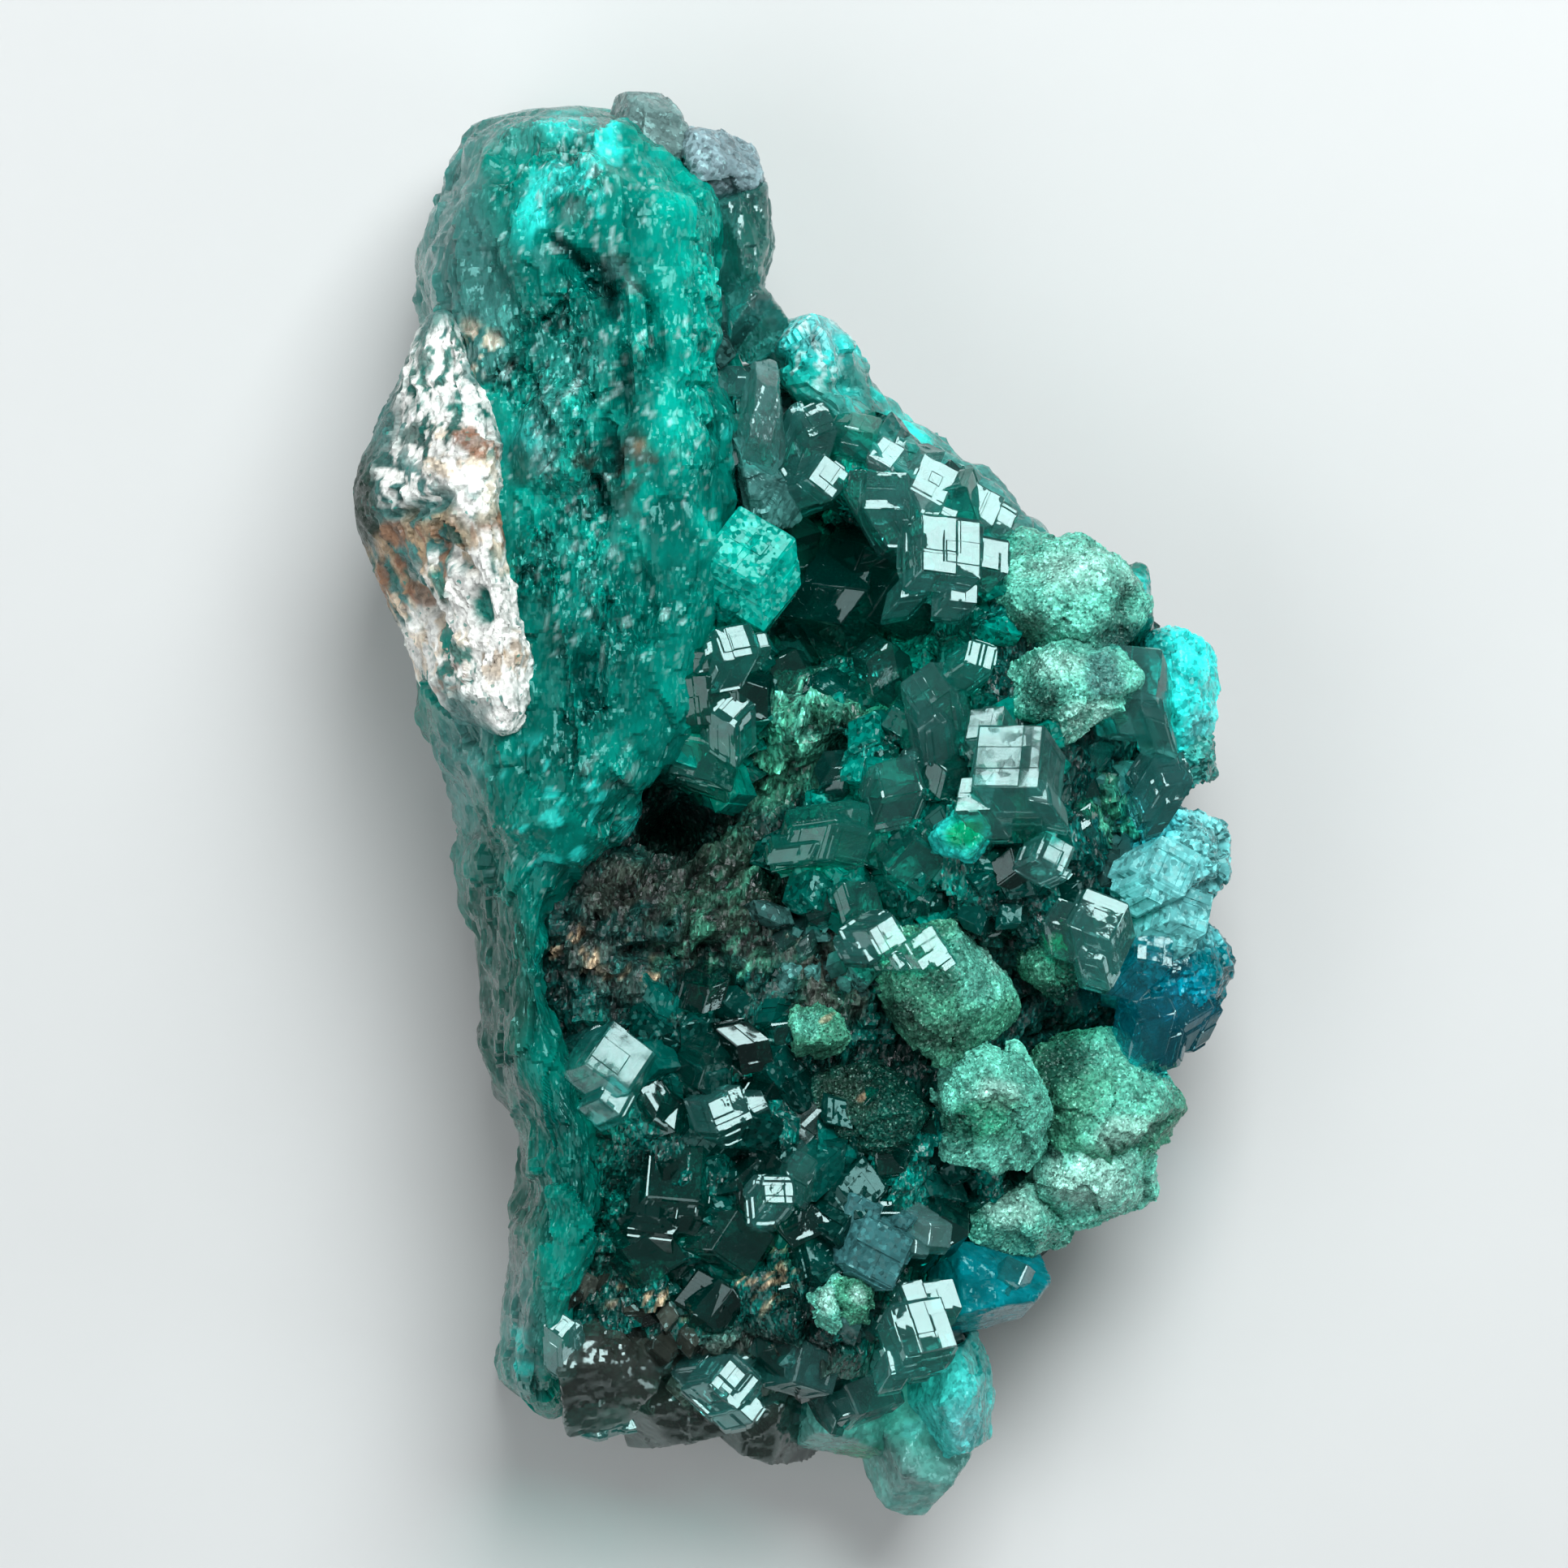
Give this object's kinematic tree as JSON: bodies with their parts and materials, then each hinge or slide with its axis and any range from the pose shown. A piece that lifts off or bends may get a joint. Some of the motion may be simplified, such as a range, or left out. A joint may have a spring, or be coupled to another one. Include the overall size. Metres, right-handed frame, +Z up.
{
  "type": "dioptase specimen",
  "caption": "Hand-sized cluster of blue-green dioptase crystals on rock beside a broken massive vein, lying on its flat back.",
  "frame": {"origin": "on the flat back that the specimen lies on, below the middle of its box", "axes": "+Y along the specimen, +X across it, +Z up out of the flat back, towards the crystals"},
  "size_m": [0.0296, 0.048, 0.0159],
  "materials": {
    "massive": "translucent blue-green massive dioptase, broken and full of small bright cleavage faces",
    "clear": "clear deep blue-green crystal with glassy faces",
    "pale": "pale greyish blue-green glassy crystal",
    "blue": "clear blue-green crystal with rounded glassy faces",
    "coated": "crystal coated with fine sparkling mint-green grains",
    "calcite": "white and tan calcite crust with brown stains",
    "rock": "dark olive-brown rough rock"
  },
  "bodies": {
    "root": {"vein_slab": "massive", "calcite_patch": "calcite", "matrix_rock": "rock", "upper_stepped_crystal": "clear", "lower_stepped_crystal": "clear", "bead_pair": "coated", "shard_pair": "pale", "ledge_crystal": "clear", "emerald_crystal": "clear", "ring_crystal": "pale", "small_square_crystal": "clear", "blocky_crystal": "clear", "sparkling_crystal": "clear", "cube_crystal": "clear", "striated_lower_crystal": "clear", "frosted_lower_crystal": "pale", "bottom_stepped_crystal": "pale", "striated_right_crystal": "clear", "frosted_crystal": "pale", "blade_crystal": "pale", "slab_edge_crystals": "clear", "top_edge_crystals": "pale", "ridge_crystals": "clear", "ridge_knob": "pale", "ridge_end_crystal": "pale", "coated_upper_crystal": "coated", "coated_inner_crystal": "coated", "smooth_grey_crystal": "pale", "rim_crystals": "blue", "green_nodule": "coated", "small_nodule": "coated", "bright_nodule": "coated", "shaded_nodule": "coated", "dark_nodule": "coated", "right_edge_crystals": "blue", "coated_mass": "coated", "teal_edge_crystal": "blue", "grey_face_crystal": "clear", "dark_lower_crystals": "clear", "middle_crystals": "clear", "cavity_crystals": "clear", "tip_crystal": "pale", "corner_crystals": "blue", "bottom_crystals": "pale"}
  },
  "joints": []
}
